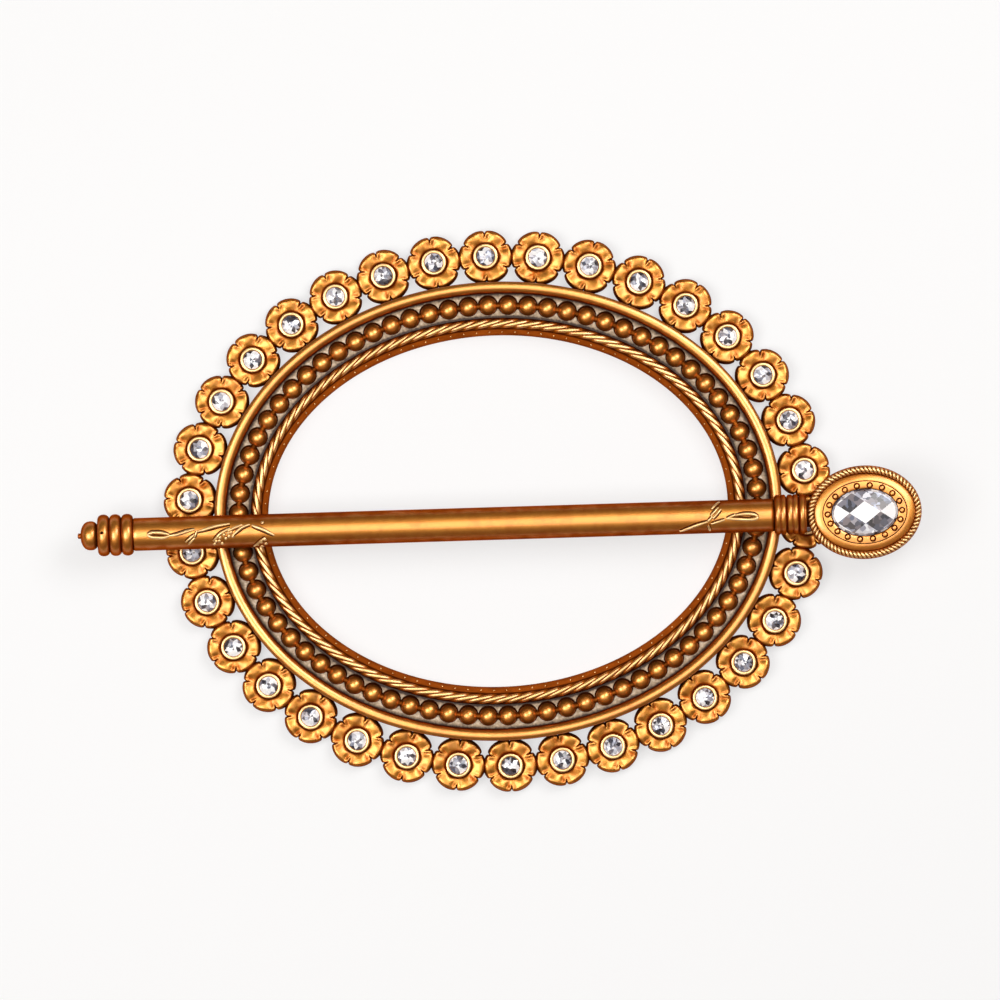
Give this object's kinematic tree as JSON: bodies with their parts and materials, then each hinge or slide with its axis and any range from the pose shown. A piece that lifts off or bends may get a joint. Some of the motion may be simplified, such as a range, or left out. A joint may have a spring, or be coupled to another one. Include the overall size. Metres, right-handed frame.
{
  "type": "curtain tieback clip",
  "caption": "Oval curtain tieback ring of moulded flowers, beads and rope edge with stones set in the flowers, and a straight pin with a crystal head laid across its front.",
  "frame": {"origin": "middle of the oval on the back plane, under the middle of the pin", "axes": "+X along the long axis of the oval towards the head of the pin, +Y along its short axis, +Z out of the front"},
  "size_m": [0.2079, 0.139, 0.0188],
  "materials": {
    "antique_gold": "satin antique-gold coating, darker in the recesses, pale champagne on the channel floor",
    "clear_stone": "clear cut stone with a silvered back"
  },
  "bodies": {
    "root": {"ring_frame": "antique_gold", "pin": "antique_gold", "oval_crystal": "clear_stone", "flower_stone_01": "clear_stone", "flower_stone_02": "clear_stone", "flower_stone_03": "clear_stone", "flower_stone_04": "clear_stone", "flower_stone_05": "clear_stone", "flower_stone_06": "clear_stone", "flower_stone_07": "clear_stone", "flower_stone_08": "clear_stone", "flower_stone_09": "clear_stone", "flower_stone_10": "clear_stone", "flower_stone_11": "clear_stone", "flower_stone_12": "clear_stone", "flower_stone_13": "clear_stone", "flower_stone_14": "clear_stone", "flower_stone_15": "clear_stone", "flower_stone_16": "clear_stone", "flower_stone_17": "clear_stone", "flower_stone_18": "clear_stone", "flower_stone_19": "clear_stone", "flower_stone_20": "clear_stone", "flower_stone_21": "clear_stone", "flower_stone_22": "clear_stone", "flower_stone_23": "clear_stone", "flower_stone_24": "clear_stone", "flower_stone_25": "clear_stone", "flower_stone_26": "clear_stone", "flower_stone_27": "clear_stone", "flower_stone_28": "clear_stone", "flower_stone_29": "clear_stone", "flower_stone_30": "clear_stone", "flower_stone_31": "clear_stone", "flower_stone_32": "clear_stone", "flower_stone_33": "clear_stone", "flower_stone_34": "clear_stone"}
  },
  "joints": []
}
